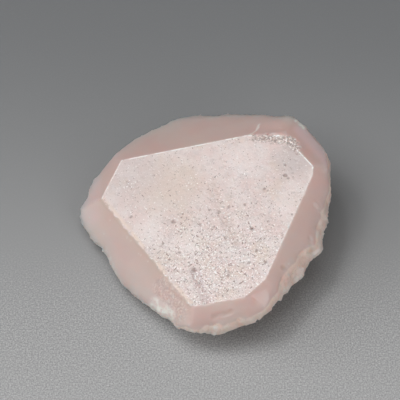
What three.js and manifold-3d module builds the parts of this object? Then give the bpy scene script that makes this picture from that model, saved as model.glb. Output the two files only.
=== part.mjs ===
// A loose morganite crystal, the pink beryl: a stubby plate with one large flat end face, six sloping
// pyramid faces round it, and a broken rim, side and underside. Millimetres, +Z up, resting on a table.
import * as THREE from 'three';
import { ConvexGeometry } from 'three/addons/geometries/ConvexGeometry.js';
import { mergeVertices } from 'three/addons/utils/BufferGeometryUtils.js';
import Module from 'manifold-3d';

const wasm = await Module();
wasm.setup();

// ---------------------------------------------------------------------------------------------------
// Driving dimensions. The crystal frame has its origin in the middle of the end face, +Z along the
// crystal's c axis, out of that face, and azimuths counted from +X towards +Y. A depth is measured down
// from the end face.
// ---------------------------------------------------------------------------------------------------
const DEG = Math.PI / 180;
const PYRAMID_DIP = 29.95; // beryl's first pyramid, against the end face
const FACE_HEIGHT = 12.5; // middle of the end face above the table
const LEAN = 13; // of the c axis from upright
const LEAN_AZIMUTH = -160.6; // the way the c axis leans
const SPIN = 5.1; // turn of the crystal about its own c axis

// The end face: a six-sided outline with 120 degree corners. Azimuth of each edge, and its distance from
// the middle. A pyramid face falls away from each edge.
const END_FACE_EDGES = [
  [90, 18.56],
  [30, 23.53],
  [-30, 15.99],
  [-90, 17.95],
  [-150, 13.51],
  [150, 23.84],
];

// Flats where a corner or a stretch of rim is gone: azimuth, dip, and the distance from the c axis at
// which the flat meets the plane of the end face.
const WORN_CORNERS = [
  [56, 9, 21.2],
  [-49, 24, 17.9],
  [-13, 24, 20.0],
  [20, 46, 25.2],
  [40, 43, 27.0],
];

const SLOPING_FACES = [
  ...END_FACE_EDGES.map(([azimuth, distance]) => [azimuth, PYRAMID_DIP, distance]),
  ...WORN_CORNERS,
];

// The broken outline, clockwise. Azimuth, radius of the rim, radius of the waist below it, and
// depth of the waist.
const OUTLINE = [
  [101, 31.2, 28.9, 9.8],
  [88, 29.7, 28.0, 9.8],
  [73, 28.4, 27.0, 9.6],
  [60, 28.5, 27.2, 9.4],
  [49, 29.9, 28.4, 9.0],
  [43, 29.8, 28.8, 7.6],
  [34, 28.6, 29.0, 6.5],
  [26, 28.1, 28.5, 7.2],
  [17, 26.9, 26.4, 7.8],
  [7, 24.9, 24.4, 6.8],
  [2, 23.2, 22.9, 6.3],
  [-4, 22.2, 22.2, 6.4],
  [-13, 21.4, 22.2, 6.6],
  [-18, 21.0, 22.2, 6.4],
  [-24, 20.6, 21.9, 6.0],
  [-32, 19.9, 21.6, 6.0],
  [-42, 19.2, 21.0, 6.2],
  [-51, 20.2, 20.8, 5.4],
  [-58, 21.3, 21.5, 5.2],
  [-66, 22.2, 22.1, 4.5],
  [-76, 22.0, 22.2, 4.6],
  [-87, 21.6, 22.6, 5.4],
  [-96, 21.5, 23.2, 4.4],
  [-104, 22.2, 22.6, 3.9],
  [-114, 21.6, 21.4, 4.6],
  [-128, 20.6, 19.8, 6.2],
  [-141, 20.6, 19.7, 5.6],
  [-154, 21.0, 20.0, 5.4],
  [-166, 21.6, 20.7, 5.6],
  [-177, 22.1, 20.9, 5.3],
  [172, 25.4, 23.6, 5.1],
  [165, 28.1, 26.5, 5.0],
  [157, 28.5, 26.9, 5.2],
  [145, 28.8, 27.1, 5.7],
  [132, 28.5, 26.9, 6.6],
  [122, 29.6, 27.7, 7.8],
  [111, 31.4, 29.2, 9.0],
];

// The root that broke off the rock, below the waist: azimuth, radius and depth. The table cuts it flat.
const ROOT = [
  [8, 20.4, 11.6],
  [-20, 18.4, 11.8],
  [-45, 16.6, 11.2],
  [-70, 17.2, 10.4],
  [-96, 18.0, 9.2],
  [12, 14.5, 17.0],
  [-25, 12.5, 16.4],
  [-62, 12.0, 15.2],
  [-100, 13.5, 13.6],
  [-135, 11.0, 11.6],
  [175, 10.5, 11.2],
  [140, 11.0, 12.6],
  [100, 13.5, 14.6],
  [55, 15.0, 16.6],
];

// Shell-shaped breaks that notch the rim. Each is met by a line aimed at a point on the c axis: azimuth
// of the line, its slope (level is 0, from straight below is 90), depth of the point, radius and bite.
const RIM_BREAKS = [
  [-44, 0, 2.8, 7.5, 1.3],
  [-31, 0, 3.6, 10.0, 0.9],
  [-14, 0, 3.6, 6.0, 0.7],
  [2, 2, 2.8, 4.0, 0.7],
  [6, 6, 6.6, 8.0, 1.2],
  [46, 0, 3.6, 4.0, 0.6],
  [178, 0, 4.0, 7.0, 0.7],
  [-179, 0, 3.8, 2.4, 0.5],
  [-134, 2, 3.0, 6.0, 0.5],
  [-121, 0, 2.6, 4.5, 0.7],
  [-94, 0, 3.6, 5.0, 0.5],
  [-65, 2, 5.2, 9.0, 0.7],
  [-50, 4, 4.6, 9.0, 0.8],
];

// Broad shell-shaped breaks side by side all over the side and underside, in rings: slope of the lines
// that meet them, how many go round, and how deep they bite.
const BREAK_RINGS = [
  [0, 19, 0.45],
  [8, 18, 0.7],
  [16, 17, 0.9],
  [24, 15, 0.9],
  [31, 13, 0.7],
];
const BREAK_RADIUS = [9, 24];
const BREAK_STRETCH = [0.7, 1.3];
const BREAK_SCATTER = [-4, 4]; // degrees off its ring's slope
const BREAK_DEPTH_SPREAD = [0.6, 1.4];
const BREAK_AIM_DEPTH = 6.5; // of the point on the c axis that the lines aim at
const BREAK_STAGGER = 0.8; // of the space to the next line in its ring

// Shallow troughs etched in the end face: from, to, width and depth.
const TROUGHS = [
  [[1.0, 9.4], [5.8, -6.8], 3.6, 0.16],
  [[-4.6, -8.8], [-2.8, -14.2], 1.5, 0.2],
  [[-10.4, -8.0], [-3.8, -10.9], 1.0, 0.12],
];

// The larger etch pits in the end face: place, radius and depth.
const LARGE_PITS = [
  [-7.0, 1.7, 0.6, 0.36],
  [12.1, 4.9, 0.5, 0.3],
  [8.7, -3.2, 0.55, 0.32],
  [16.7, 7.4, 0.5, 0.3],
  [-1.6, -6.2, 0.5, 0.3],
  [3.2, -11.8, 0.5, 0.3],
  [-15.6, 13.2, 0.5, 0.26],
  [6.4, 8.8, 0.45, 0.24],
];

const SMALL_PIT_COUNT = 110;
const SMALL_PIT_RADIUS = [0.18, 0.4];
const SMALL_PIT_STEEPNESS = 0.6; // depth over radius
const PIT_FIELD = { x: [-22, 22], y: [-18, 18] };
const PIT_CROWDING = { middle: 0.55, right: 0.03, back: -0.025, least: 0.08 }; // chance of a pit, and per mm
const PIT_SIDES = 6;
const PIT_CORNER_TURN = 30; // the pits' corners stand against the outline's
const PIT_SPARE = 0.2; // a pit's cone starts this far above the face
const PIT_EDGE_MARGIN = 1.3; // bare end face left between a pit and an edge
// The crushed, sugary corner: half an oval that reaches out from a line square to the azimuth.
const SUGAR_CORNER = { azimuth: 56, out: 21.0, reach: 2.8, middle: -4.2, half: 5.4, depth: 0.75 };
const SUGAR_CHIP_COUNT = 70;
const SUGAR_CHIP_SIZE = [0.5, 1.3];
const SUGAR_CHIP_RISE = [-0.45, 0.2]; // of a chip's middle above the surface, in its radii
const RIM_NICK_COUNT = 64;
const RIM_NICK_RADIUS = [0.6, 2.6];
const RIM_NICK_BITE = [0.05, 0.45];
const RIM_NICK_DROP = [-0.3, 0.5]; // fall of the line that a nick faces along, over its run
const SPALL_COUNT = 100; // small flakes off the side and underside
const SPALL_RADIUS = [1.6, 5.0];
const SPALL_BITE = [0.12, 0.4];
const SPALL_SLOPE = [-4, 66];
const SPALL_AIM = 0.7; // depth of the point that its line aims at, as a share of the waist's there
const SPALL_FLATNESS = 0.87; // distance to the middle of a flake's flats, as a share of its radius

const TABLE_ANGLE = 0.02; // radians, within which a face is the flat that rests on the table
const CUT_SIZE = 160; // of the blocks that stand for a half space
const RIM_SPARE = 0.5; // the rim starts this far above its pyramid face, which then trims it
const SHELL_STEP = 1.7; // length of a facet on a shell-shaped break
const ICOSAHEDRON_EDGE = 1.1; // of a ball of radius 1, before its faces are divided
const TROUGH_DETAIL = 5;
const WELD = 1e-5; // corners closer than this are one
const GRAIN_SEED = 20;

// ---------------------------------------------------------------------------------------------------
// Helpers
// ---------------------------------------------------------------------------------------------------
const UP = new THREE.Vector3(0, 0, 1);
let seed = GRAIN_SEED;

/** Next number from 0 to 1 of a fixed sequence. */
function random() {
  seed = (seed * 1664525 + 1013904223) % 4294967296;
  return seed / 4294967296;
}

function between([low, high]) {
  return low + (high - low) * random();
}

/** A closed three.js geometry as a solid. */
function solid(geometry) {
  const bare = new THREE.BufferGeometry();
  bare.setAttribute('position', geometry.getAttribute('position').clone());
  if (geometry.index) bare.setIndex(geometry.index.clone());
  const merged = mergeVertices(bare, WELD);
  return new wasm.Manifold(new wasm.Mesh({
    numProp: 3,
    vertProperties: new Float32Array(merged.getAttribute('position').array),
    triVerts: new Uint32Array(merged.index.array),
  }));
}

/** A solid as a three.js geometry. */
function geometryOf(body) {
  const mesh = body.getMesh();
  const geometry = new THREE.BufferGeometry();
  geometry.setAttribute('position', new THREE.BufferAttribute(mesh.vertProperties, 3));
  geometry.setIndex(new THREE.BufferAttribute(mesh.triVerts, 1));
  return geometry;
}

function polar(azimuth, radius, depth) {
  return new THREE.Vector3(
    radius * Math.cos(azimuth * DEG),
    radius * Math.sin(azimuth * DEG),
    -depth,
  );
}

/** Normal of a face that falls away towards an azimuth at a dip. */
function faceNormal(azimuth, dip) {
  return polar(azimuth, Math.sin(dip * DEG), -Math.cos(dip * DEG));
}

/** A block that fills everything beyond a plane through a point. */
function beyond(normal, point) {
  const block = new THREE.BoxGeometry(CUT_SIZE, CUT_SIZE, CUT_SIZE);
  block.translate(0, 0, CUT_SIZE / 2);
  block.applyQuaternion(new THREE.Quaternion().setFromUnitVectors(UP, normal));
  block.translate(point.x, point.y, point.z);
  return solid(block);
}

/** How far a point in plan lies beyond a sloping face's line in the end face's plane. */
function pastLine(azimuth, distance, x, y) {
  return x * Math.cos(azimuth * DEG) + y * Math.sin(azimuth * DEG) - distance;
}

/** Depth of the crystal's top below the end face's plane, at a point in plan. */
function topDepth(x, y) {
  const depths = SLOPING_FACES.map(([azimuth, dip, distance]) => (
    pastLine(azimuth, distance, x, y) * Math.tan(dip * DEG)
  ));
  return Math.max(0, ...depths);
}

/** Distance in plan from a point on the end face to its nearest edge. */
function roomOnEndFace(x, y) {
  return Math.min(...SLOPING_FACES.map(([azimuth, , distance]) => -pastLine(azimuth, distance, x, y)));
}

/** Radius and depth of the side at an azimuth, read between the outline's points. */
function sideAt(azimuth) {
  const count = OUTLINE.length;
  for (let i = 0; i < count; i += 1) {
    const here = OUTLINE[i];
    const next = OUTLINE[(i + 1) % count];
    const span = (here[0] - next[0] + 360) % 360;
    const along = (here[0] - azimuth + 360) % 360;
    if (along <= span) {
      const share = along / span;
      const mix = (k) => here[k] + (next[k] - here[k]) * share;
      return { rim: mix(1), waist: mix(2), waistDepth: mix(3) };
    }
  }
  return null;
}

/** Cut a list of solids from a body, joined first so that the body is cut once. */
function cutAll(body, tools) {
  const joined = tools.reduce((sum, tool) => sum.add(tool));
  return body.subtract(joined);
}

// ---------------------------------------------------------------------------------------------------
// The crystal's parts of shape
// ---------------------------------------------------------------------------------------------------

/** The end face's corners, in plan. */
function endFaceCorners() {
  return END_FACE_EDGES.map(([azimuth, distance], i) => {
    const [nextAzimuth, nextDistance] = END_FACE_EDGES[(i + 1) % END_FACE_EDGES.length];
    const turn = (azimuth - nextAzimuth) * DEG;
    const along = (nextDistance - distance * Math.cos(turn)) / Math.sin(turn);
    return polar(azimuth, distance, 0).add(polar(azimuth - 90, along, 0));
  });
}

/** The rough block: the end face, the outline's rim and waist and the root, spanned by flat breaks. */
function roughBlock() {
  const points = endFaceCorners();
  for (const corner of points) corner.z = RIM_SPARE;
  for (const [azimuth, rim, waist, waistDepth] of OUTLINE) {
    const edge = polar(azimuth, rim, 0);
    edge.z = RIM_SPARE - topDepth(edge.x, edge.y);
    points.push(edge, polar(azimuth, waist, waistDepth));
  }
  for (const [azimuth, radius, depth] of ROOT) points.push(polar(azimuth, radius, depth));
  return solid(new ConvexGeometry(points));
}

/** Blocks that cut the end face, the six pyramid faces and the worn corners. */
function faceCuts() {
  const cuts = [beyond(UP, new THREE.Vector3())];
  for (const [azimuth, dip, distance] of SLOPING_FACES) {
    cuts.push(beyond(faceNormal(azimuth, dip), polar(azimuth, distance, 0)));
  }
  return cuts;
}

/** A ball whose facets are about SHELL_STEP long. */
function ball(radius) {
  const detail = Math.max(2, Math.round((ICOSAHEDRON_EDGE * radius) / SHELL_STEP) - 1);
  return new THREE.IcosahedronGeometry(radius, detail);
}

/** Where a line aimed at a point on the c axis meets a body, and the normal there. */
function meet(triangles, azimuth, slope, depth) {
  const away = polar(azimuth, Math.cos(slope * DEG), Math.sin(slope * DEG));
  const start = away.clone().multiplyScalar(CUT_SIZE);
  start.z -= depth;
  const ray = new THREE.Ray(start, away.clone().negate());
  const point = new THREE.Vector3();
  for (const [a, b, c] of triangles) {
    if (ray.intersectTriangle(a, b, c, true, point)) {
      const normal = new THREE.Triangle(a, b, c).getNormal(new THREE.Vector3());
      return { point, normal };
    }
  }
  return null;
}

/** Turn a tool so that its Z is square to the surface at a place, and press it in there. */
function pressed(tool, radius, bite, { point, normal }) {
  const centre = point.clone().addScaledVector(normal, radius - bite);
  tool.applyQuaternion(new THREE.Quaternion().setFromUnitVectors(UP, normal));
  tool.translate(centre.x, centre.y, centre.z);
  return solid(tool);
}

/** A body's triangles as lists of three corners. */
function trianglesOf(body) {
  const { vertProperties, triVerts } = body.getMesh();
  const corner = (i) => new THREE.Vector3().fromArray(vertProperties, 3 * i);
  const list = [];
  for (let i = 0; i < triVerts.length; i += 3) {
    list.push([corner(triVerts[i]), corner(triVerts[i + 1]), corner(triVerts[i + 2])]);
  }
  return list;
}

/** A six-sided etch pit in the end face. */
function etchPit(x, y, radius, depth) {
  const full = depth + PIT_SPARE;
  const pit = new THREE.ConeGeometry((radius * full) / depth, full, PIT_SIDES);
  pit.rotateX(-Math.PI / 2);
  pit.rotateZ(PIT_CORNER_TURN * DEG);
  pit.translate(x, y, PIT_SPARE - full / 2);
  return solid(pit);
}

/** Small etch pits, thicker towards the front right of the end face and few at the back left. */
function smallPits() {
  const pits = [];
  const { middle, right, back, least } = PIT_CROWDING;
  while (pits.length < SMALL_PIT_COUNT) {
    const x = between(PIT_FIELD.x);
    const y = between(PIT_FIELD.y);
    const crowding = Math.max(least, middle + right * x + back * y);
    const size = between(SMALL_PIT_RADIUS);
    if (random() < crowding && roomOnEndFace(x, y) > PIT_EDGE_MARGIN) {
      pits.push(etchPit(x, y, size, size * SMALL_PIT_STEEPNESS));
    }
  }
  return pits;
}

/** A shallow trough: a long ball pressed into the end face. */
function trough([[x0, y0], [x1, y1], width, depth]) {
  const lift = width / 2; // of the ball's middle above the face
  const height = lift + depth;
  const spread = 1 / Math.sqrt(1 - (lift / height) ** 2); // the ball is wider than its print
  const scoop = new THREE.IcosahedronGeometry(1, TROUGH_DETAIL);
  scoop.scale((Math.hypot(x1 - x0, y1 - y0) / 2) * spread, (width / 2) * spread, height);
  scoop.rotateZ(Math.atan2(y1 - y0, x1 - x0));
  scoop.translate((x0 + x1) / 2, (y0 + y1) / 2, lift);
  return solid(scoop);
}

/** Turn a tool any way. */
function tumble(tool) {
  tool.rotateX(between([0, Math.PI]));
  tool.rotateY(between([0, Math.PI]));
  tool.rotateZ(between([0, Math.PI]));
  return tool;
}

/** The crushed, sugary corner of the end face. */
function sugarChips() {
  const chips = [];
  const { azimuth, out, reach, middle, half } = SUGAR_CORNER;
  while (chips.length < SUGAR_CHIP_COUNT) {
    const outward = random();
    const sideways = between([-1, 1]);
    const place = polar(azimuth, out + reach * outward, 0);
    place.add(polar(azimuth + 90, middle + half * sideways, 0));
    const depth = topDepth(place.x, place.y);
    if (Math.hypot(outward, sideways) < 1 && depth < SUGAR_CORNER.depth) {
      const radius = between(SUGAR_CHIP_SIZE) / 2;
      place.z = radius * between(SUGAR_CHIP_RISE) - depth;
      const grain = tumble(new THREE.OctahedronGeometry(radius));
      grain.translate(place.x, place.y, place.z);
      chips.push(solid(grain));
    }
  }
  return chips;
}

/** Small nicks along the rim. */
function rimNicks() {
  const nicks = [];
  for (let i = 0; i < RIM_NICK_COUNT; i += 1) {
    const azimuth = (360 * (i + random())) / RIM_NICK_COUNT - 180;
    const radius = between(RIM_NICK_RADIUS);
    const point = polar(azimuth, sideAt(azimuth).rim, 0);
    point.z = -topDepth(point.x, point.y);
    const normal = polar(azimuth, 1, between(RIM_NICK_DROP)).normalize();
    const nick = tumble(new THREE.IcosahedronGeometry(radius));
    nicks.push(pressed(nick, radius, between(RIM_NICK_BITE), { point, normal }));
  }
  return nicks;
}

/** Small flakes off the side and underside. */
function spalls(triangles) {
  const flakes = [];
  for (let i = 0; i < SPALL_COUNT; i += 1) {
    const azimuth = (360 * (i + random())) / SPALL_COUNT - 180;
    const aimDepth = sideAt(azimuth).waistDepth * SPALL_AIM;
    const place = meet(triangles, azimuth, between(SPALL_SLOPE), aimDepth);
    const radius = between(SPALL_RADIUS);
    const flake = tumble(new THREE.IcosahedronGeometry(radius));
    if (place) flakes.push(pressed(flake, radius * SPALL_FLATNESS, between(SPALL_BITE), place));
  }
  return flakes;
}

/** The breaks that notch the rim. */
function rimBreaks(triangles) {
  return RIM_BREAKS.map(([azimuth, slope, depth, radius, bite]) => (
    pressed(ball(radius), radius, bite, meet(triangles, azimuth, slope, depth))
  ));
}

/** The broad breaks, each longer one way than the other. */
function broadBreaks(triangles) {
  const shells = [];
  for (const [slope, count, bite] of BREAK_RINGS) {
    for (let i = 0; i < count; i += 1) {
      const azimuth = (360 * (i + BREAK_STAGGER * random())) / count;
      const radius = between(BREAK_RADIUS);
      const shell = ball(radius);
      shell.scale(between(BREAK_STRETCH), between(BREAK_STRETCH), 1);
      shell.rotateZ(between([0, Math.PI]));
      const place = meet(triangles, azimuth, slope + between(BREAK_SCATTER), BREAK_AIM_DEPTH);
      if (place) shells.push(pressed(shell, radius, bite * between(BREAK_DEPTH_SPREAD), place));
    }
  }
  return shells;
}

/** The turn that lays the crystal in its resting place. */
function restingTurn() {
  const azimuth = LEAN_AZIMUTH * DEG;
  const hinge = new THREE.Vector3(-Math.sin(azimuth), Math.cos(azimuth), 0);
  const lean = new THREE.Quaternion().setFromAxisAngle(hinge, LEAN * DEG);
  const spin = new THREE.Quaternion().setFromAxisAngle(new THREE.Vector3(0, 0, 1), SPIN * DEG);
  return lean.multiply(spin);
}

// ---------------------------------------------------------------------------------------------------
// The crystal
// ---------------------------------------------------------------------------------------------------
function crystalGeometry() {
  const rough = roughBlock();
  const laying = restingTurn();
  const down = new THREE.Vector3(0, 0, -1);
  const tableNormal = down.clone().applyQuaternion(laying.clone().invert());
  const standing = rough.subtract(beyond(tableNormal, tableNormal.clone().multiplyScalar(FACE_HEIGHT)));
  const surface = trianglesOf(standing).filter(([a, b, c]) => (
    new THREE.Triangle(a, b, c).getNormal(new THREE.Vector3()).angleTo(tableNormal) > TABLE_ANGLE
  ));

  let body = cutAll(rough, faceCuts());
  body = cutAll(body, broadBreaks(surface));
  body = cutAll(body, rimBreaks(surface));
  body = cutAll(body, spalls(surface));
  body = cutAll(body, rimNicks());
  body = cutAll(body, TROUGHS.map(trough));
  body = cutAll(body, LARGE_PITS.map((row) => etchPit(...row)));
  body = cutAll(body, smallPits());
  body = cutAll(body, sugarChips());

  // Laid down and lifted, the crystal is cut flat where it rests.
  const laid = geometryOf(body);
  laid.applyQuaternion(laying);
  laid.translate(0, 0, FACE_HEIGHT);
  return geometryOf(solid(laid).subtract(beyond(down, new THREE.Vector3())));
}

const morganite = new THREE.MeshStandardMaterial({ color: 0xdcb8b0, roughness: 0.45, metalness: 0 });
const geometry = crystalGeometry();
geometry.computeBoundingBox();
geometry.computeVertexNormals();

const crystal = new THREE.Mesh(geometry, morganite);
crystal.name = 'morganite_crystal';
const middle = geometry.boundingBox.getCenter(new THREE.Vector3());
crystal.position.set(-middle.x, -middle.y, 0);

const part = new THREE.Group();
part.name = 'morganite';
part.add(crystal);

export default part;
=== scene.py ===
import math
from types import SimpleNamespace

import bmesh
import bpy
import numpy as np
from mathutils import Matrix, Quaternion, Vector, noise
from mathutils.bvhtree import BVHTree


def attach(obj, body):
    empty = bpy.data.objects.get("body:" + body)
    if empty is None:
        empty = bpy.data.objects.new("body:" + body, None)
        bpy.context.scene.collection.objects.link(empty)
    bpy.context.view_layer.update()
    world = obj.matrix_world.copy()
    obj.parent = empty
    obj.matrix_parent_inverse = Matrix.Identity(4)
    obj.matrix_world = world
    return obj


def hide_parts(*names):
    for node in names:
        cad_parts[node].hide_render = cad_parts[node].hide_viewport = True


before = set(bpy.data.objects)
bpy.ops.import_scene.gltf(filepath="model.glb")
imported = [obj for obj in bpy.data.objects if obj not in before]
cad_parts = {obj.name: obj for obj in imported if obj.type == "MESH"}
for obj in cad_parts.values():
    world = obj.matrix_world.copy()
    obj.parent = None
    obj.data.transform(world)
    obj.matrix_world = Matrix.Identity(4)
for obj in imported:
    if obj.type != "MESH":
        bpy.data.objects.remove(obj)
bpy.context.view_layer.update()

# ----------------------------------------------------------------------------------------------------
# Driving sizes. The crystal's own frame is in millimetres: origin in the middle of the end face, +Z along
# the c axis out of that face, and azimuths counted from +X towards +Y, as in the solid's source.
# ----------------------------------------------------------------------------------------------------
MM = 0.001
LEAN = 13  # degrees, of the c axis from upright
LEAN_AZIMUTH = -160.6
SPIN = 5.1  # degrees, about the c axis
END_FACE_MIDDLE = (0.322, -3.741, 12.5)
DIP = 29.95  # degrees, of the sloping faces from the end face
FALL = math.tan(math.radians(DIP))  # how far a sloping face falls for each millimetre outwards
MIDDLE = (2.0, 0.5)  # of the crystal's outline, in plan
BERYL_IOR = 1.58

VIEW_ELEVATION = 56  # degrees
VIEW_ANGLE = 15  # degrees, across the view
VIEW_DISTANCE = 306.8
VIEW_AIM = (-1.378, 1.574, 12.5)

# The small faces that the solid's surface is made again from.
GRAIN = 0.34  # their size
EDGE_REACH = 0.5 * GRAIN  # a point this close to an edge between growth faces is taken onto it
ON_FACE = 0.03  # a point this close to a growth face lies on it
ON_END_FACE = 0.04  # a point this little past the end face's edge still lies on it
END_FACE_REACH = 1.0  # deepest pit or chip that still belongs to the end face
RESTING_HEIGHT = 0.02  # a point lower than this rests on the table
LEAST_AREA = 0.0003  # square millimetres; smaller triangles are opened out
OPENING_ROUNDS = 8
RIDGE_EASING = 14  # how many times the ridges between the sloping faces are drawn in
BREAK_EASING = 8  # how many times the breaks are, before they are chipped

# How the growth faces are told from the breaks.
LEAST_FACE = 8.0  # square millimetres of the smallest
LEAST_TRIANGLE = 1e-6  # square millimetres; smaller ones have no sure normal
NORMAL_STEPS = 250  # triangles whose normals agree to a step belong together
DISTANCE_STEPS = 20
SAME_WAY = 0.9999  # cosine between two normals that count as one
STEEPEST_FACE = 0.6  # cosine of its slope
WORN_CORNERS = (0.9, 0.999)  # cosines of the slopes of the worn corners' flats, which aren't growth faces

# Etching of the end face: places with their reach and strength, and the strength far from them.
ETCH_PLACES = (
    ((1.0, -10.0), (16.0, 14.0), 0.75),
    ((-15.8, 12.0), (1.8, 1.8), 0.5),
)
ETCH_LEAST = 0.25

# Larger etch pits on the end face: place and radius.
LARGE_PITS = (
    (-7.0, 1.7, 0.62),
    (-5.0, 3.0, 0.34),
    (-4.0, -9.9, 0.60),
    (-3.2, -12.9, 0.34),
    (2.6, -12.7, 0.52),
    (-3.5, -1.1, 0.40),
    (-4.9, -0.5, 0.36),
    (7.7, 2.5, 0.45),
    (4.4, 2.6, 0.45),
    (1.1, -1.3, 0.40),
    (3.0, -4.2, 0.55),
    (-6.4, -5.6, 0.40),
    (-9.6, -2.8, 0.36),
    (8.5, -3.2, 0.58),
    (8.9, -8.3, 0.50),
    (7.1, -10.6, 0.44),
    (10.4, -11.3, 0.44),
    (11.9, -2.4, 0.38),
    (14.6, -1.6, 0.38),
    (16.8, -1.8, 0.34),
    (16.9, 9.8, 0.38),
    (16.6, 7.4, 0.66),
    (17.2, 6.6, 0.44),
    (12.1, 5.2, 0.38),
    (12.7, 4.7, 0.32),
    (-15.7, 4.6, 0.52),
)

# Lines in plan on the crystal.
DASH = ((0.6, 3.0), (2.3, 2.1))
VALLEY = ((1.7, 8.3), (3.3, 1.6), (4.9, -5.2))
GROOVE = ((-3.8, -10.5), (-3.5, -12.4), (-2.9, -14.8), (-2.3, -17.2))
HAIRLINE = ((-9.6, -9.4), (-8.8, -9.3), (-4.7, -9.9), (-3.7, -9.3))
SUGAR_EDGE = ((11.8, 17.5), (13.8, 16.9), (15.8, 16.3), (18.0, 15.8), (19.1, 14.9), (19.5, 13.4))
CRACK = ((10.2, 18.4), (11.2, 19.1), (11.9, 19.8), (12.2, 20.5), (12.6, 21.9))
RIM_CHIP = ((20.2, 21.3), (21.6, 19.3))
WORN_RIDGE = ((23.0, 11.4), (24.0, 9.5), (24.8, 7.7))
SIDE_NICKS = ((22.0, 0.2), (23.3, -3.7))
SIDE_GROOVE = ((19.4, -6.5), (19.2, -9.5))
FRONT_PIT = ((13.5, -12.6), (13.6, -12.5))
FRONT_LEDGE = ((-1.4, -20.3), (2.2, -20.0))
LOW_LEDGE = ((-7.6, -20.9), (-5.4, -21.8), (-1.0, -22.6))
SHORE = ((-11.2, -11.5), (-9.8, -13.6), (-7.7, -18.0))
PALE_PATCH = ((-13.2, -14.4), (-11.6, -16.0), (-10.2, -17.8))
NOTCH_FRINGE = ((-22.7, 0.3), (-21.9, -1.3), (-21.0, -4.2), (-20.2, -6.5))
# Along these two lines the rim is made lighter and pinker: partly the stone's pinker tone, partly painted
# highlight.
LEFT_RIM_PINK_AND_HIGHLIGHT = ((-24.0, 15.7), (-24.4, 11.6), (-24.7, 8.2))
RIGHT_RIM_PINK_AND_HIGHLIGHT = ((20.7, 18.6), (21.8, 16.9), (23.1, 14.1), (24.4, 11.8), (25.6, 9.6))

# Where the end face's corners are chipped off: the line where the fall starts, and how far beyond it the
# fall is deepest.
CORNER_CHIPS = (
    (((10.9, 18.3), (18.9, 16.8)), 1.3),
    (((22.4, 8.2), (21.8, 4.8)), 0.3),
    (((9.3, -15.3), (6.1, -17.5)), 0.55),
    (((-5.8, -16.9), (-4.3, -18.2)), 0.5),
)
CHIP_FADE_OUT = 6.0  # how far beyond its line a chip still shows
CHIP_FADE_ASIDE = 5.0  # how far from the ends of its line

# Cooler, greyer places on the end face: place, reach and strength.
COOL_PLACES = (
    ((-15.0, 15.0), 10.0, 0.5),
    ((19.0, 10.5), 5.8, 1.0),
)

# Whiter places on the end face: place and reach.
WHITE_PLACES = (
    ((7.9, 12.9), 5.5),
    ((15.7, 0.5), 4.0),
    ((-12.0, 1.2), 4.5),
    ((-5.0, -4.0), 4.5),
)

# The beige place on the end face.
WARM_PLACE = (-6.5, 10.0)
WARM_REACH = 10.0

# Where the rim is moved outwards from the solid's, or inwards: place and distance.
RIM_SHIFTS = (
    ((-3.8, 30.8), 1.4),
    ((1.3, 29.7), 0.9),
    ((6.8, 27.7), 0.9),
    ((11.9, 25.7), 0.7),
    ((-10.5, 27.6), -0.6),
    ((-17.9, 21.7), -0.3),
    ((-24.0, 16.0), 0.8),
    ((-26.7, 9.5), 0.8),
    ((-24.5, 3.5), 0.4),
    ((-20.4, -6.8), 0.3),
    ((-7.9, -21.0), 0.3),
    ((2.4, -22.8), -0.4),
    ((12.2, -18.3), -0.4),
    ((18.8, -11.3), -0.3),
    ((21.5, -7.5), 0.6),
    ((25.6, 7.9), -0.4),
    ((23.8, 15.3), 0.6),
    ((20.4, 21.6), 0.6),
)
RIM_REACH = 4.5

# Grains that catch the light on the sloping faces: place.
GRAINS = (
    (13.9, -13.4),
    (14.6, -11.8),
    (-22.1, 3.2),
    (-17.0, 0.4),
    (-14.9, -3.7),
    (-14.5, -4.2),
    (-25.0, 7.9),
    (-20.3, 5.3),
    (-16.2, -0.6),
    (-13.2, -6.0),
)
GRAIN_REACH = 0.25

# Depths of the marks, and heights of the uneven places.
FINE_ETCH = 0.10
SWELL = 0.012  # of the growth faces, which are nearly even
PIT_DEPTH = 0.16
VALLEY_DEPTH = 0.10
GROOVE_DEPTH = 0.14
SCRATCH_DEPTH = 0.05
SUGAR_RELIEF = 0.22
SUGAR_SINK = 0.06
SIDE_MARKS = 0.13
FRONT_DEPTH = 0.14
LARGE_CHIPS = 0.24
SMALL_CHIPS = 0.11
BREAK_GRAIN = 0.05
EDGE_WEAR = (0.03, 0.06)  # in every place, and the most that comes on top of it

# Which way the end face's edges look.
# The end face's edges round the back and right get a painted highlight.
LIT_AZIMUTH = 70  # degrees; the edges round the back and right are bright
# Below the peach edge at the front left, the sloping face gets painted shade.
PEACH_AZIMUTH = -150  # degrees; the edge at the front left is peach


# ----------------------------------------------------------------------------------------------------
# Small helpers
# ----------------------------------------------------------------------------------------------------
def crystal_frame():
    """Matrix from the crystal's own frame, in millimetres, to the row frame, in metres."""
    azimuth = math.radians(LEAN_AZIMUTH)
    hinge = Vector((-math.sin(azimuth), math.cos(azimuth), 0))
    turn = Quaternion(hinge, math.radians(LEAN)) @ Quaternion((0, 0, 1), math.radians(SPIN))
    return Matrix.Scale(MM, 4) @ Matrix.Translation(END_FACE_MIDDLE) @ turn.to_matrix().to_4x4()


def moved(points, matrix):
    """Points, an N x 3 array, taken through a matrix."""
    m = np.array(matrix)
    return points @ m[:3, :3].T + m[:3, 3]


def smooth(low, high, x):
    """0 below low, 1 above high, with an easy ramp between."""
    t = np.clip((x - low) / (high - low), 0, 1)
    return t * t * (3 - 2 * t)


def grainy(points, size, octaves=1, seed=0.0):
    """Noise from about -1 to 1 at points, with features of about that size."""
    shift = Vector((seed, -seed, 2 * seed))
    return np.array([
        noise.fractal(Vector(p) / size + shift, 0.7, 2.1, octaves, noise_basis="PERLIN_ORIGINAL")
        for p in points
    ])


def tilt(place):
    """A way of leaning, settled by the place."""
    shifts = ((0, 0, 0), (9.3, -1.5, -8.0), (3.1, 6.2, 4.7))
    return Vector([noise.noise(place + Vector(shift)) for shift in shifts])


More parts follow.
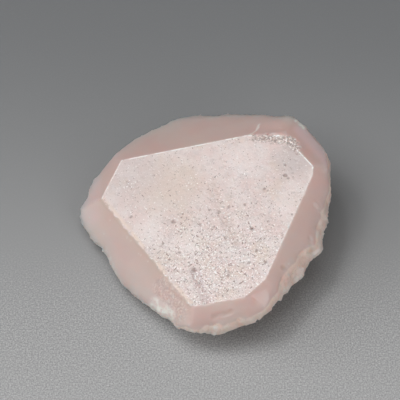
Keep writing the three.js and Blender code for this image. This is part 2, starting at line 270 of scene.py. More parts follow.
def chipped(points, size, seed):
    """Flat chips of about that size, each tilted its own way, from about -1 to 1."""
    shift = Vector((seed, 2 * seed, -seed))
    result = []
    for p in points:
        place = Vector(p) / size + shift
        _, middles = noise.voronoi(place)
        tilted = (3 * tilt(9.1 * m).dot(place - m) + noise.noise(5.3 * m) for m in middles[:3])
        result.append(max(tilted))
    return np.array(result)


def from_line(points, line):
    """Distance in plan from points to the nearest stretch of a line, a list of places."""
    best = np.full(len(points), np.inf)
    flat = points[:, :2]
    for start, end in zip(line, line[1:]):
        a = np.array(start, float)
        d = np.array(end, float) - a
        t = np.clip(((flat - a) @ d) / (d @ d), 0, 1)
        best = np.minimum(best, np.linalg.norm(flat - a - t[:, None] * d, axis=1))
    return best


def along(points, line, reach):
    """1 on a line in plan, easing to 0 at that reach from it."""
    return 1 - smooth(0.35 * reach, reach, from_line(points, line))


def around(points, place, inner, reach):
    """1 in plan within that inner share of the reach from a place, easing to 0 at the reach."""
    out = np.hypot(points[:, 0] - place[0], points[:, 1] - place[1])
    return 1 - smooth(inner * reach, reach, out)


def inside_line(points, line):
    """How far points lie on the middle's side of a straight line in plan."""
    start, end = (np.array(place) for place in line)
    way = (end - start) / np.linalg.norm(end - start)
    across = np.array([-way[1], way[0]])
    across *= np.sign((np.array(MIDDLE) - start) @ across)
    return (points[:, :2] - start) @ across


# ----------------------------------------------------------------------------------------------------
# Meshes as arrays
# ----------------------------------------------------------------------------------------------------
def coordinates(mesh):
    points = np.empty(len(mesh.vertices) * 3)
    mesh.vertices.foreach_get("co", points)
    return points.reshape(-1, 3)


def triangles_of(mesh):
    mesh.calc_loop_triangles()
    corners = np.empty(len(mesh.loop_triangles) * 3, int)
    mesh.loop_triangles.foreach_get("vertices", corners)
    return corners.reshape(-1, 3)


def edges_of(mesh):
    ends = np.empty(len(mesh.edges) * 2, int)
    mesh.edges.foreach_get("vertices", ends)
    return ends.reshape(-1, 2)


def crosses(points, triangles):
    """Each triangle's normal, as long as twice its area."""
    corners = points[triangles]
    return np.cross(corners[:, 1] - corners[:, 0], corners[:, 2] - corners[:, 0])


def point_normals(points, triangles):
    cross = crosses(points, triangles)
    total = np.zeros_like(points)
    for k in range(3):
        np.add.at(total, triangles[:, k], cross)
    return total / np.maximum(np.linalg.norm(total, axis=1), 1e-12)[:, None]


def blurred(values, edges, times):
    """Values at the mesh's points, each averaged with its neighbours' a few times."""
    count = np.bincount(edges.ravel(), minlength=len(values)) + 1.0
    for _ in range(times):
        total = values.copy()
        np.add.at(total, edges[:, 0], values[edges[:, 1]])
        np.add.at(total, edges[:, 1], values[edges[:, 0]])
        values = total / count
    return values


def eased(points, edges, share, times):
    """Points drawn towards their neighbours a few times, each by its own share, which rounds ridges."""
    count = np.bincount(edges.ravel(), minlength=len(points))[:, None]
    for _ in range(times):
        total = np.zeros_like(points)
        np.add.at(total, edges[:, 0], points[edges[:, 1]])
        np.add.at(total, edges[:, 1], points[edges[:, 0]])
        points = points + share[:, None] * (total / count - points)
    return points


def opened_out(points, triangles, edges):
    """Points of slivers drawn towards their neighbours a few times, so that each triangle has an area."""
    for _ in range(OPENING_ROUNDS):
        slivers = np.linalg.norm(crosses(points, triangles), axis=1) / 2 < LEAST_AREA
        share = np.zeros(len(points))
        share[triangles[slivers].ravel()] = 0.5
        points = eased(points, edges, share, 1)
    return points


# ----------------------------------------------------------------------------------------------------
# The solid's surface, made again from small faces
# ----------------------------------------------------------------------------------------------------
def solid_shape(to_crystal):
    """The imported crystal's corners, in its own frame, and its triangles."""
    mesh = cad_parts["morganite_crystal"].data
    return moved(coordinates(mesh), to_crystal), triangles_of(mesh)


def growth_faces(points, triangles):
    """The flat faces round the crystal's end: normals and distances from the origin, end face first."""
    cross = crosses(points, triangles)
    area = np.linalg.norm(cross, axis=1) / 2
    real = area > LEAST_TRIANGLE
    normals = cross[real] / (2 * area[real, None])
    distances = (normals * points[triangles[real, 0]]).sum(axis=1)
    keys = np.round(np.column_stack([normals * NORMAL_STEPS, distances * DISTANCE_STEPS]))
    _, group = np.unique(keys, axis=0, return_inverse=True)
    group = group.ravel()
    size = np.bincount(group, area[real])
    found = []
    for g in np.argsort(-size):
        mine = group == g
        share = area[real][mine] / size[g]
        normal = (normals[mine] * share[:, None]).sum(axis=0)
        distance = (distances[mine] * share).sum()
        new = all(normal @ n < SAME_WAY for n, _ in found)
        worn_flat = WORN_CORNERS[0] < normal[2] < WORN_CORNERS[1]
        if size[g] > LEAST_FACE and normal[2] > STEEPEST_FACE and new and not worn_flat:
            found.append((normal / np.linalg.norm(normal), distance))
    found.sort(key=lambda face: -face[0][2])
    return np.array([n for n, _ in found]), np.array([d for _, d in found])


def remade(points, triangles, grain):
    """The solid's surface made again from small four-sided faces of one size."""
    mesh = bpy.data.meshes.new("solid")
    mesh.from_pydata(points.tolist(), [], triangles.tolist())
    obj = bpy.data.objects.new("solid", mesh)
    bpy.context.scene.collection.objects.link(obj)
    remesh = obj.modifiers.new("grain", "REMESH")
    remesh.mode = "VOXEL"
    remesh.voxel_size = grain
    shape = obj.evaluated_get(bpy.context.evaluated_depsgraph_get())
    fine = bpy.data.meshes.new_from_object(shape)
    bpy.data.objects.remove(obj)
    bpy.data.meshes.remove(mesh)
    return fine


def snapped(points, tree):
    """Points taken to the nearest place on the solid."""
    return np.array([tree.find_nearest(Vector(p))[0] for p in points])


def heights(points, normals, distances):
    """Height of each point above each growth face: 0 on it, negative inside the crystal."""
    return points @ normals.T - distances


def sharpened(points, normals, distances):
    """Points near an edge between two growth faces taken onto that edge."""
    above = heights(points, normals, distances)
    order = np.argsort(-above, axis=1)
    rows = np.arange(len(points))
    first, second = order[:, 0], order[:, 1]
    h1, h2 = above[rows, first], above[rows, second]
    c = (normals[first] * normals[second]).sum(axis=1)
    along1 = (h1 - c * h2) / (1 - c * c)
    along2 = (h2 - c * h1) / (1 - c * c)
    move = along1[:, None] * normals[first] + along2[:, None] * normals[second]
    near = (np.abs(h1) < ON_FACE) & (np.linalg.norm(move, axis=1) < EDGE_REACH)
    result = points.copy()
    result[near] -= move[near]
    return result


def refine_end_face(mesh, normals, distances):
    """Divide the end face's small faces once more, for its fine etching."""
    above = heights(coordinates(mesh), normals, distances)
    inside = (above[:, 0] > above[:, 1:].max(axis=1) - 0.05) & (above[:, 0] > -END_FACE_REACH)
    shape = bmesh.new()
    shape.from_mesh(mesh)
    edges = [e for e in shape.edges if inside[e.verts[0].index] and inside[e.verts[1].index]]
    bmesh.ops.subdivide_edges(shape, edges=edges, cuts=1, use_grid_fill=True)
    bmesh.ops.triangulate(shape, faces=shape.faces)
    shape.to_mesh(mesh)
    shape.free()


def fine_mesh(solid, triangles, normals, distances):
    """The solid's surface in small faces, finest on the end face, with its edges kept sharp."""
    tree = BVHTree.FromPolygons(solid.tolist(), triangles.tolist())
    mesh = remade(solid, triangles, GRAIN)
    points = snapped(coordinates(mesh), tree)
    points = sharpened(points, normals, distances)
    mesh.vertices.foreach_set("co", points.ravel())
    refine_end_face(mesh, normals, distances)
    return mesh


# ----------------------------------------------------------------------------------------------------
# Growth, breaks and wear
# ----------------------------------------------------------------------------------------------------
def zones(points, edges, normals, distances, to_row):
    """Where each point lies: distances in millimetres, and shares from 0 to 1 of each kind of surface."""
    above = heights(points, normals, distances)
    below = -above.max(axis=1)
    to_side = above[:, 1:].max(axis=1)
    slope = math.sqrt(1 - normals[1:, 2].mean() ** 2)
    inward = (above[:, 0] - to_side) / slope
    for line, _ in CORNER_CHIPS:
        inward = np.minimum(inward, inside_line(points, line))
    on_end = ((inward > -ON_END_FACE) & (above[:, 0] > -END_FACE_REACH)).astype(float)
    grown = np.maximum((below < ON_FACE).astype(float), on_end)
    resting = (moved(points, to_row)[:, 2] < RESTING_HEIGHT * MM).astype(float)
    broken = (1 - np.maximum(grown, resting)) * smooth(0.10, 0.45, below) * smooth(1.2, 2.0, -points[:, 2])
    side_azimuths = np.arctan2(normals[1:, 1], normals[1:, 0])
    return SimpleNamespace(
        above_end=above[:, 0],
        below=below,
        to_side=to_side,
        inward=inward,
        side_azimuth=side_azimuths[above[:, 1:].argmax(axis=1)],
        on_end=on_end,
        end_face=blurred(on_end, edges, 1),
        grown=grown,
        broken=blurred(broken, edges, 2),
        resting=resting,
    )


def worn(points, edges, zone):
    """Points with the ridges between the sloping faces, and the breaks, drawn in."""
    edge_of_end = smooth(-0.4, -0.1, zone.above_end)
    ridges = zone.grown * (1 - zone.resting) * (1 - edge_of_end)
    points = eased(points, edges, ridges, RIDGE_EASING)
    return eased(points, edges, 0.8 * zone.broken * (1 - zone.resting), BREAK_EASING)


def rim_shifted(points, azimuths):
    """Points near the rim moved out or in along the sloping face they belong to."""
    out = points[:, :2] - MIDDLE
    out /= np.linalg.norm(out, axis=1)[:, None]
    turn = np.arctan2(out[:, 1], out[:, 0]) - azimuths
    way = np.column_stack([out, -FALL * np.cos(turn)])
    amount = np.zeros(len(points))
    for place, shift in RIM_SHIFTS:
        amount += shift * around(points, place, 0.2, RIM_REACH)
    return points + (amount * smooth(0.3, 2.0, -points[:, 2]))[:, None] * way


def etch_strength(points):
    """How strongly the end face is etched at each point, up to 1."""
    total = np.full(len(points), ETCH_LEAST)
    for middle, reach, strength in ETCH_PLACES:
        out = (points[:, :2] - middle) / reach
        total += strength * np.exp(-(out ** 2).sum(axis=1))
    return total


def large_pits(points):
    """The larger etch pits, 1 in the middle of each and 0 outside."""
    wobble = 0.45 * grainy(points, 0.45, 2, 11.0)
    found = np.zeros(len(points))
    for x, y, radius in LARGE_PITS:
        reach = np.hypot(points[:, 0] - x, points[:, 1] - y) / radius + wobble
        found = np.maximum(found, 1 - smooth(0.2, 1.0, reach))
    return found


def marks(points, on_end):
    """Marks of growth and wear, each from 0 to 1 at the points."""
    upper = smooth(-7.5, -6.0, points[:, 2])
    off_end = upper * (1 - on_end)
    patchy = smooth(-0.35, 0.25, grainy(points, 0.9, 3, 12.0))
    ragged = smooth(-0.3, 0.3, grainy(points, 0.6, 2, 15.0))
    scratches = np.maximum(0.5 * along(points, HAIRLINE, 0.4), along(points, DASH, 0.5))
    grains = np.maximum.reduce([around(points, place, 0.4, GRAIN_REACH) for place in GRAINS])
    nicks = np.maximum(along(points, SIDE_NICKS, 1.2), along(points, SIDE_GROOVE, 0.55)) * upper
    front = np.maximum.reduce([
        along(points, FRONT_PIT, 0.6),
        0.6 * along(points, SIDE_GROOVE, 0.45),
        0.7 * along(points, FRONT_LEDGE, 0.6) * patchy,
        0.6 * along(points, LOW_LEDGE, 0.5) * patchy,
    ])
    pale = np.maximum.reduce([
        0.9 * along(points, PALE_PATCH, 1.9) * (0.45 + 0.55 * patchy),
        along(points, RIM_CHIP, 0.6) * (0.2 + 0.8 * patchy),
        0.4 * along(points, NOTCH_FRINGE, 1.1) * patchy,
        0.15 * along(points, WORN_RIDGE, 0.5),
        0.9 * along(points, CRACK, 0.3),
        0.3 * nicks * patchy,
        0.8 * grains,
    ])
    return SimpleNamespace(
        etch=etch_strength(points),
        pits=large_pits(points) * on_end,
        valley=along(points, VALLEY, 1.5) * on_end * (0.4 + 0.6 * ragged),
        groove=along(points, GROOVE, 1.3) * on_end * (0.6 + 0.4 * ragged),
        scratches=scratches * on_end * ragged,
        sugar=1 - smooth(0.75, 1.15, from_line(points, SUGAR_EDGE) + 0.6 * (0.5 - ragged)),
        shore=along(points, SHORE, 2.4) * off_end,
        nicks=nicks,
        front=front * upper,
        pale=pale * off_end,
    )


def corners_chipped(points):
    """Points where the end face's chipped corners fall away, as steeply as the sloping faces."""
    result = points.copy()
    above_rim = smooth(-4.0, -3.0, points[:, 2])
    for line, depth in CORNER_CHIPS:
        beyond = np.maximum(-inside_line(points, line), 0)
        fall = np.clip(result[:, 2] + FALL * beyond, 0, FALL * depth) * (beyond > 0)
        near = 1 - smooth(depth, CHIP_FADE_OUT, beyond)
        near *= 1 - smooth(depth, CHIP_FADE_ASIDE, from_line(points, line))
        result[:, 2] -= fall * near * above_rim
    return result


def break_relief(points, hackly):
    """How far the breaks stand out: large flat chips, small ones on them, and a fine grain."""
    torn = hackly > 0.01
    rough = np.zeros(len(points))
    places = points[torn]
    rough[torn] = LARGE_CHIPS * chipped(places, 2.4, 5.0) + SMALL_CHIPS * chipped(places, 0.9, 6.0)
    rough[torn] += BREAK_GRAIN * grainy(places, 0.7, 2, 7.0)
    return hackly * rough


def relief(points, zone, mark):
    """How far each point is moved out of the surface, in millimetres."""
    fine = grainy(points, 0.5, 2, 1.0)
    etched = FINE_ETCH * mark.etch * smooth(0.05, 0.6, -fine) + SWELL * grainy(points, 2.4, 2, 2.0)
    marked = etched + PIT_DEPTH * mark.pits + VALLEY_DEPTH * mark.valley + GROOVE_DEPTH * mark.groove
    move = -zone.end_face * (marked + SCRATCH_DEPTH * mark.scratches)
    move += mark.sugar * (SUGAR_RELIEF * grainy(points, 0.6, 2, 13.0) - SUGAR_SINK)

    # The sloping growth faces are nearly even.
    move += (1 - zone.end_face) * (1 - zone.broken) * SWELL * grainy(points, 3.0, 2, 4.0)
    side_marks = 0.6 * mark.shore + 0.8 * mark.nicks
    move += (1 - zone.broken) * side_marks * SIDE_MARKS * grainy(points, 0.8, 3, 14.0)
    move -= FRONT_DEPTH * mark.front

    # The breaks are hackly at the front and the right, and calmer round the back.
    calm = 0.75 * smooth(2.0, 7.0, points[:, 1])
    move += break_relief(points, (1 - calm) * zone.broken * (1 - zone.resting))

    # The end face's edge is worn.
    at_edge = smooth(-0.20, 0.0, zone.to_side) * smooth(-0.20, 0.0, zone.above_end)
    least, most = EDGE_WEAR
    return move - at_edge * (least + most * np.abs(grainy(points, 1.3, 2, 8.0)))


def finish(points, facing, zone, mark, to_row):
    """What the material needs to know at each point, by name."""
    lit = smooth(-0.6, 0.75, np.cos(zone.side_azimuth - math.radians(LIT_AZIMUTH)))
    peach = smooth(0.4, 0.9, np.cos(zone.side_azimuth - math.radians(PEACH_AZIMUTH)))
    upwards = np.array(to_row)[2, :3] / MM
    cool = [strength * around(points, place, 0.3, reach) for place, reach, strength in COOL_PLACES]
    white = [around(points, place, 0.2, reach) for place, reach in WHITE_PLACES]
    return {
        "broken": zone.broken,
        "inward": zone.inward,
        "below": zone.below,
        "lit_edge": lit,
        "peach_edge": peach,
        "etch": mark.etch,
        # The pits, scratches and front marks are darkened in colour: partly dirt, partly painted shade in
        # these hollows.
        "pits": np.maximum.reduce([mark.pits, 0.8 * mark.scratches, 0.8 * mark.front]),
        "groove": mark.groove,
        "valley": mark.valley,
        "sugar": mark.sugar,
        "shore": mark.shore,
        "pale": mark.pale,
        "cool": np.maximum.reduce(cool),
        "white": np.maximum.reduce(white),
        # Lighter, pinker rim: partly the stone's tone, partly painted highlight.
        "rim_pink_and_highlight": np.maximum(0.6 * along(points, LEFT_RIM_PINK_AND_HIGHLIGHT, 3.5), along(points, RIGHT_RIM_PINK_AND_HIGHLIGHT, 1.9)),
        "warm": around(points, WARM_PLACE, 0.2, WARM_REACH),
        "turned_under": smooth(0.0, -0.55, facing @ upwards) * (1 - zone.resting),
        "hidden_break": np.maximum(smooth(0.0, 5.0, points[:, 1]), smooth(-12.0, -17.0, points[:, 0])),
    }


def crystal_mesh():
    """The visible crystal: the solid's shape with its etching, breaks and wear worked in."""
    to_row = crystal_frame()
    solid, solid_triangles = solid_shape(to_row.inverted())
    normals, distances = growth_faces(solid, solid_triangles)
    mesh = fine_mesh(solid, solid_triangles, normals, distances)
    triangles = triangles_of(mesh)
    edges = edges_of(mesh)

    points = opened_out(coordinates(mesh), triangles, edges)
    zone = zones(points, edges, normals, distances, to_row)
    points = worn(points, edges, zone)
    points = rim_shifted(points, zone.side_azimuth)
    facing = point_normals(points, triangles)
    mark = marks(points, zone.on_end)
    points = corners_chipped(points)
    points = points + relief(points, zone, mark)[:, None] * facing

    placed = moved(points, to_row)
    placed[:, 2] = np.maximum(placed[:, 2], 0.0)
    mesh.vertices.foreach_set("co", placed.ravel())
    for name, values in finish(points, facing, zone, mark, to_row).items():
        mesh.attributes.new(name, "FLOAT", "POINT").data.foreach_set("value", values.astype(np.float32))
    mesh.polygons.foreach_set("use_smooth", [True] * len(mesh.polygons))
    mesh.name = "morganite"
    mesh.update()
    return mesh


# ----------------------------------------------------------------------------------------------------
# Shader arithmetic
# ----------------------------------------------------------------------------------------------------
class Socket:
    """An output socket of a node tree, with arithmetic on values that adds Math nodes."""

    def __init__(self, tree, out):
        self.tree = tree
        self.out = out

    def math(self, operation, *others):
        settings = {"operation": operation}
        return self.tree.node("ShaderNodeMath", settings, {i: v for i, v in enumerate((self, *others))})

    def __add__(self, other):
        return self.math("ADD", other)

    def __radd__(self, other):
        return self.math("ADD", other)

    def __sub__(self, other):
        return self.math("SUBTRACT", other)

    def __rsub__(self, other):
        return self.math("MULTIPLY", -1.0).math("ADD", other)

    def __mul__(self, other):
        return self.math("MULTIPLY", other)

    def __rmul__(self, other):
        return self.math("MULTIPLY", other)

    def __truediv__(self, other):
        return self.math("DIVIDE", other)

    def __abs__(self):
        return self.math("ABSOLUTE")

    def at_most(self, other):
        return self.math("MINIMUM", other)

    def at_least(self, other):
        return self.math("MAXIMUM", other)

    def between(self, low, high):
        """0 below low and 1 above high, with an easy ramp."""
        settings = {"interpolation_type": "SMOOTHSTEP"}
        sockets = {"Value": self, "From Min": low, "From Max": high}
        return self.tree.node("ShaderNodeMapRange", settings, sockets)


def as_colour(value):
    """A colour as a socket takes it: another socket, or three values and an alpha."""
    return value if isinstance(value, Socket) else (*value, 1)


class Finish:
    """The node tree of one material."""

    def __init__(self, name):
        self.material = bpy.data.materials.new(name)
        self.material.use_nodes = True
        self.nodes = self.material.node_tree.nodes
        self.links = self.material.node_tree.links
        self.nodes.clear()

    def node(self, kind, settings=None, sockets=None, out=0):
        """A node of a type, its settings, and the values or links of its sockets. Gives one output."""
        made = self.nodes.new(kind)
        for name, value in (settings or {}).items():
            setattr(made, name, value)
        for name, value in (sockets or {}).items():
            if isinstance(value, Socket):
                self.links.new(value.out, made.inputs[name])
            else:
                made.inputs[name].default_value = value
        return Socket(self, made.outputs[out])

    def attribute(self, name):
        return self.node("ShaderNodeAttribute", {"attribute_name": name}, out="Fac")

    def place(self):
        return self.node("ShaderNodeTexCoord", out="Object")

    def noise(self, size, detail=2.0, roughness=0.5, place=None):
        """Noise with features of about that size in millimetres, from 0 to 1."""
        sockets = {"Scale": 1 / (size * MM), "Detail": detail, "Roughness": roughness}
        sockets["Vector"] = place or self.place()
        return self.node("ShaderNodeTexNoise", None, sockets)

    def drawn_out(self, degrees, times):
        """The place, turned and squeezed so that a noise is drawn out along one way in plan."""
        turned = self.node("ShaderNodeMapping", None, {
            "Vector": self.place(),
            "Rotation": (0, 0, math.radians(-degrees)),
        })
        return self.node("ShaderNodeMapping", None, {"Vector": turned, "Scale": (1 / times, 1, 1)})

    def mixed(self, share, first, second):
        """A colour between two colours."""
        sockets = {0: share, 6: as_colour(first), 7: as_colour(second)}
        return self.node("ShaderNodeMix", {"data_type": "RGBA"}, sockets, out=2)

    def bump(self, height, strength, distance):
        sockets = {"Strength": strength, "Distance": distance * MM, "Height": height}
        return self.node("ShaderNodeBump", None, sockets)

    def blend(self, share, first, second):
        """One shader laid over another."""
        return self.node("ShaderNodeMixShader", None, {0: share, 1: first, 2: second})

    def surface(self, shader):
        out = self.nodes.new("ShaderNodeOutputMaterial")
        self.links.new(shader.out, out.inputs["Surface"])
        return self.material


# ----------------------------------------------------------------------------------------------------
# Materials
# ----------------------------------------------------------------------------------------------------
CLEAR_PINK = (0.685, 0.497, 0.463)
CLEAR_BEIGE = (0.695, 0.545, 0.503)
# Lighter, pinker colour near parts of the rim: partly the stone's tone, partly painted highlight.
RIM_PINK_AND_HIGHLIGHT = (0.78, 0.575, 0.57)
BREAK_PALE = (0.87, 0.715, 0.645)
BREAK_PINK = (0.85, 0.655, 0.59)
FROST_WHITE = (0.745, 0.66, 0.64)
FROST_PINK = (0.72, 0.595, 0.57)
FROST_BRIGHT = (0.82, 0.745, 0.725)
FROST_COOL = (0.60, 0.525, 0.51)
FROST_BEIGE = (0.68, 0.57, 0.505)
# Dark flecks and pits: partly dirt, partly painted shade in the hollows.
PIT_DIRT_AND_SHADE = (0.24, 0.155, 0.135)
GROOVE_SHADE = (0.50, 0.37, 0.365)
# Brown of the valley, the sugar and the breaks' grain; also painted shade below the front-left edge and,
# with dirt, in the pits.
BROWN_AND_PAINTED_SHADE = (0.55, 0.43, 0.36)
# GLINT is the colour of painted glints and of the painted highlight along the end face's edges.
GLINT = (1.0, 0.97, 0.95)
EDGE_BEIGE = (0.76, 0.63, 0.54)
# Painted shadow between the sugary corner's grains.
SUGAR_GRAIN_SHADOW = (0.38, 0.31, 0.295)
RIM_PALE = (0.90, 0.84, 0.78)
PALE_CREAM = (0.80, 0.81, 0.75)
# The paper's two colours are painted light: the far one dark, the near one light.
PAPER_FAR_PAINTED_SHADE = (0.165, 0.17, 0.175)
PAPER_NEAR_PAINTED_LIGHT = (0.41, 0.41, 0.41)
PAPER_LIGHT_GRAIN = (0.9, 0.9, 0.9)
PAPER_DARK_GRAIN = (0.05, 0.05, 0.05)

DEEP_SCATTER = 10 * MM  # in the clear body and under the breaks
FROST_SCATTER = 1.5 * MM


def gravel(f):
    """The grain of the sugary edge and of the shore."""
    return f.noise(0.42, 3.0, 0.7)


def clear_body(f):
    """The cloudy pink body, seen through the sloping faces."""
    shore = f.attribute("shore")
    clouds = f.noise(9.0, 2.0).between(0.35, 0.65)
    body = f.mixed(clouds, CLEAR_PINK, CLEAR_BEIGE)
    # Lighter, pinker near the rim: partly the stone's tone, partly painted highlight.
    body = f.mixed(f.attribute("rim_pink_and_highlight") * 0.85, body, RIM_PINK_AND_HIGHLIGHT)
    outward = f.attribute("inward") * -1
    # Painted shade on the sloping face just below the end face's front-left edge.
    painted_edge_shade = 0.4 * (1 - outward.between(0.3, 1.0)) + 0.3 * (1 - outward.between(0.5, 4.5))
    body = f.mixed(painted_edge_shade * f.attribute("peach_edge"), body, BROWN_AND_PAINTED_SHADE)
    body = f.mixed(shore * 0.6, body, CLEAR_BEIGE)
    body = f.mixed(shore * (0.48 - gravel(f)).between(0.0, 0.07) * 0.45, body, GROOVE_SHADE)
    body = f.mixed(shore * (gravel(f) - 0.52).between(0.0, 0.08) * 0.4, body, RIM_PALE)
    # Pits and marks darkened: partly dirt, partly painted shade in the hollows.
    body = f.mixed(f.attribute("pits") * 0.5, body, BROWN_AND_PAINTED_SHADE)
    return f.node("ShaderNodeBsdfPrincipled", None, {
        "Base Color": body,
        "Roughness": 0.34 + 0.2 * f.attribute("pale"),
        "IOR": BERYL_IOR,
        "Subsurface Weight": 1.0,
        "Subsurface Radius": (1.0, 0.6, 0.5),
        "Subsurface Scale": DEEP_SCATTER,
        "Transmission Weight": 0.2,
        "Normal": f.bump(f.noise(0.35, 3.0, 0.6), 0.2, 0.05),
    })


def hackly_break(f):
    """Broken surfaces: paler, with a thin pale line under the rim at the back and the left, and paler where
    they turn under.
    """
    grain = f.noise(0.4, 4.0, 0.65)
    below = f.attribute("below")
    shade = f.mixed(f.noise(1.6, 4.0, 0.65).between(0.38, 0.62), BREAK_PALE, BREAK_PINK)
    shade = f.mixed((0.42 - grain).between(0.0, 0.08) * 0.4, shade, BROWN_AND_PAINTED_SHADE)
    rim = below.between(0.02, 0.12) * (1 - below.between(0.25, 0.6)) * f.attribute("hidden_break")
    shade = f.mixed((rim * 0.7).at_least(f.attribute("turned_under") * 0.4), shade, RIM_PALE)
    # Pits and marks darkened: partly dirt, partly painted shade in the hollows.
    shade = f.mixed(f.attribute("pits") * 0.5, shade, BROWN_AND_PAINTED_SHADE)
    return f.node("ShaderNodeBsdfPrincipled", None, {
        "Base Color": shade,
        "Roughness": 0.32 + 0.3 * grain,
        "IOR": BERYL_IOR,
        "Subsurface Weight": 1.0,
        "Subsurface Radius": (1.0, 0.7, 0.6),
        "Subsurface Scale": DEEP_SCATTER,
        "Transmission Weight": 0.1,
        "Normal": f.bump(grain, 0.45, 0.12),
    })


def mottled_frost(f):
    """The end face's ground colour: white, pink, beige and cool grey in soft patches."""
    frost = f.mixed(f.noise(4.0, 3.0, 0.6).between(0.38, 0.62), FROST_WHITE, FROST_PINK)
    frost = f.mixed(f.noise(6.5, 2.0, 0.6).between(0.52, 0.66) * 0.6, frost, FROST_BEIGE)
    frost = f.mixed(f.noise(1.7, 3.0, 0.65).between(0.5, 0.64) * 0.5, frost, FROST_COOL)
    frost = f.mixed(f.attribute("warm") * 0.7, frost, FROST_BEIGE)
    frost = f.mixed(f.attribute("cool"), frost, FROST_COOL)
    frost = f.mixed(f.attribute("white") * 0.5, frost, FROST_BRIGHT)
    frost = f.mixed(f.attribute("valley") * 0.30, frost, BROWN_AND_PAINTED_SHADE)
    return f.mixed(f.attribute("groove") * 0.6, frost, GROOVE_SHADE)


def flecked(f, frost, bright):
    """A ground colour with the etching's fine flecks, the dark ones partly dirt and partly painted shade in
    the pits, the bright ones painted glints, and the larger pits, darkened the same way.
    """
    one_way = f.noise(0.36, 2.0, 0.7, f.drawn_out(35, 2.2))
    other_way = f.noise(0.36, 2.0, 0.7, f.drawn_out(-50, 2.0))
    threshold = 0.31 + 0.10 * f.attribute("etch") + 0.07 * f.attribute("sugar")
    # Dark flecks: partly dirt, partly painted shade in the etch pits.
    dark = (threshold - one_way.at_most(other_way)).between(0.0, 0.05)
    frost = f.mixed(dark * 0.85, frost, PIT_DIRT_AND_SHADE)
    # Bright flecks: painted glints.
    frost = f.mixed(bright * 0.9, frost, GLINT)
    return f.mixed(f.attribute("pits").between(0.1, 0.8) * 0.5, frost, PIT_DIRT_AND_SHADE)


def edged(f, frost):
    """A ground colour with the sugary corner, the painted highlight along the back and right edges, the
    beige edge and the pale marks.
    """
    sugar = f.attribute("sugar")
    inward = f.attribute("inward")
    # The sugary corner: browner, with painted shadows between the grains and painted glints on them.
    frost = f.mixed(sugar * 0.3, frost, BROWN_AND_PAINTED_SHADE)
    frost = f.mixed(sugar * (0.5 - gravel(f)).between(0.0, 0.05) * 0.8, frost, SUGAR_GRAIN_SHADOW)
    frost = f.mixed(sugar * (gravel(f) - 0.55).between(0.0, 0.06) * 0.8, frost, GLINT)
    # Painted highlight: a bright, broken line along the end face's edges round the back and right.
    highlight_patches = f.noise(1.6, 3.0, 0.6).between(0.42, 0.56)
    line = (1 - abs(inward - 0.06).between(0.08, 0.26)) * f.attribute("lit_edge") * (1 - sugar)
    frost = f.mixed(line * (0.25 + 0.75 * highlight_patches), frost, GLINT)
    patches = f.noise(3.2, 2.0, 0.6).between(0.44, 0.54)
    band = inward.between(-0.05, 0.1) * (1 - inward.between(0.3, 1.0)) * f.attribute("peach_edge")
    frost = f.mixed(band * patches * 0.65, frost, EDGE_BEIGE)
    return f.mixed(f.attribute("pale"), frost, PALE_CREAM)


def frosted_end(f):
    """The frosted end face."""
    # Painted glints: bright specks in the frost's colour, where its roughness is also lower.
    bright_grain = f.noise(0.30, 1.0, 0.6)
    bright = bright_grain - 0.715 + 0.15 * f.attribute("etch") + 0.10 * f.attribute("sugar")
    bright = bright.between(0.0, 0.05)
    return f.node("ShaderNodeBsdfPrincipled", None, {
        "Base Color": edged(f, flecked(f, mottled_frost(f), bright)),
        "Roughness": 0.5 - 0.3 * bright,
        "IOR": BERYL_IOR,
        "Subsurface Weight": 0.5,
        "Subsurface Radius": (1.0, 0.7, 0.6),
        "Subsurface Scale": FROST_SCATTER,
        "Normal": f.bump(f.noise(0.25, 3.0, 0.7), 0.55, 0.08),
    })


def on_end_face(f):
    """How far the frosted finish covers the stone: the end face with its ragged edge, and the pale marks."""
    peach_edge = f.attribute("peach_edge")
    fine_teeth = (0.2 + 2.0 * peach_edge) * (f.noise(1.0, 3.0, 0.6) - 0.5)
    wide_teeth = 1.2 * peach_edge * (f.noise(3.5) - 0.5)
    inside = (f.attribute("inward") + (fine_teeth + wide_teeth)).between(-0.12, 0.04)
    inside = inside.at_least(f.attribute("sugar").between(0.4, 0.7))
    return inside.at_least(f.attribute("pale") * 0.9) * 0.95


def morganite():
    f = Finish("morganite")
    broken = f.attribute("broken").between(0.25, 0.75)
    stone = f.blend(broken, clear_body(f), hackly_break(f))
    return f.surface(f.blend(on_end_face(f), stone, frosted_end(f)))


def grey_paper():
    """Grey paper with painted light, dark at the back and light at the front, and more plainly grained
    towards the front.
    """
    f = Finish("grey_paper")
    forward = f.node("ShaderNodeSeparateXYZ", None, {0: f.place()}, out=1) / MM * -1
    # Painted light: the paper's colour runs from dark at the back to light at the front.
    shade = f.mixed(forward.between(-75, 75), PAPER_FAR_PAINTED_SHADE, PAPER_NEAR_PAINTED_LIGHT)
    grain = f.noise(0.32, 3.0, 0.75)
    speckle = (0.05 + 0.95 * forward.between(-3, 22)) * (grain - 0.5)
    shade = f.mixed(speckle.at_least(0.0) * 2, shade, PAPER_LIGHT_GRAIN)
    shade = f.mixed((speckle * -1).at_least(0.0) * 2, shade, PAPER_DARK_GRAIN)
    paper = f.node("ShaderNodeBsdfPrincipled", None, {
        "Base Color": shade,
        "Roughness": 0.85,
        "Normal": f.bump(grain, 0.2, 0.1),
    })
    return f.surface(paper)


# ----------------------------------------------------------------------------------------------------
# The studio
# ----------------------------------------------------------------------------------------------------
FLOOR_HALF = 2.0  # metres
ROOM_LIGHT = 0.01

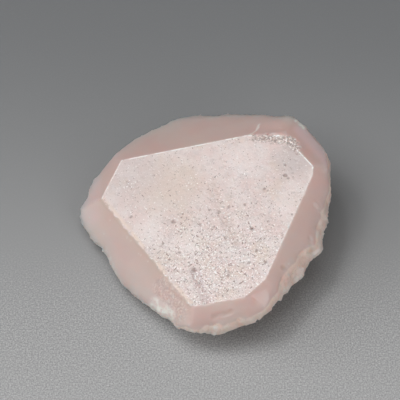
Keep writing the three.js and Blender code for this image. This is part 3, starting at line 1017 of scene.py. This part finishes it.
# Soft lights: name, way towards it, distance in metres, width and height in metres, and power in watts.
SOFTBOXES = (
    ("overhead", (0.0, 0.0, 1.0), 1.0, (0.5, 0.5), 2.2),
    ("window", (-0.7, 0.0, 0.7), 1.2, (0.9, 0.9), 4.6),
    ("low window", (-0.9, 0.1, 0.42), 1.2, (0.8, 0.8), 2.0),
    ("lamp", (-0.4, 0.0, 0.92), 1.0, (0.3, 0.3), 2.2),
    ("small lamp", (-0.25, 0.2, 0.95), 1.0, (0.12, 0.12), 0.7),
    ("front left", (-0.45, -0.45, 0.75), 1.0, (0.35, 0.35), 1.1),
    ("front right", (0.5, -0.5, 0.7), 1.0, (0.6, 0.6), 1.4),
    ("low front", (0.6, -0.75, 0.3), 1.0, (0.5, 0.5), 1.8),
)


def add(name, data):
    obj = bpy.data.objects.new(name, data)
    bpy.context.scene.collection.objects.link(obj)
    return obj


def camera():
    data = bpy.data.cameras.new("camera")
    data.angle = math.radians(VIEW_ANGLE)
    data.clip_start = 0.01
    obj = add("camera", data)
    e = math.radians(VIEW_ELEVATION)
    back = Vector((0, -math.cos(e), math.sin(e)))
    obj.location = (Vector(VIEW_AIM) + VIEW_DISTANCE * back) * MM
    obj.rotation_euler = back.to_track_quat("Z", "Y").to_euler()
    bpy.context.scene.camera = obj


def floor():
    h = FLOOR_HALF
    mesh = bpy.data.meshes.new("floor")
    mesh.from_pydata([(-h, -h, 0), (h, -h, 0), (h, h, 0), (-h, h, 0)], [], [(0, 1, 2, 3)])
    mesh.materials.append(grey_paper())
    sheet = add("floor", mesh)


def room_light():
    world = bpy.data.worlds.new("room")
    world.use_nodes = True
    background = world.node_tree.nodes["Background"]
    background.inputs["Color"].default_value = (1.0, 1.0, 1.0, 1)
    background.inputs["Strength"].default_value = ROOM_LIGHT
    bpy.context.scene.world = world


def softbox(name, towards, distance, size, power):
    data = bpy.data.lights.new(name, "AREA")
    data.shape = "RECTANGLE"
    data.size, data.size_y = size
    data.energy = power
    obj = add(name, data)
    direction = Vector(towards).normalized()
    obj.location = distance * direction
    obj.rotation_euler = direction.to_track_quat("Z", "Y").to_euler()


def crystal():
    mesh = crystal_mesh()
    mesh.materials.clear()
    mesh.materials.append(morganite())
    piece = add("morganite", mesh)
    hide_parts("morganite_crystal")
    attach(piece, "root")


camera()
floor()
room_light()
for light in SOFTBOXES:
    softbox(*light)
crystal()
bpy.context.scene.view_settings.view_transform = "Standard"
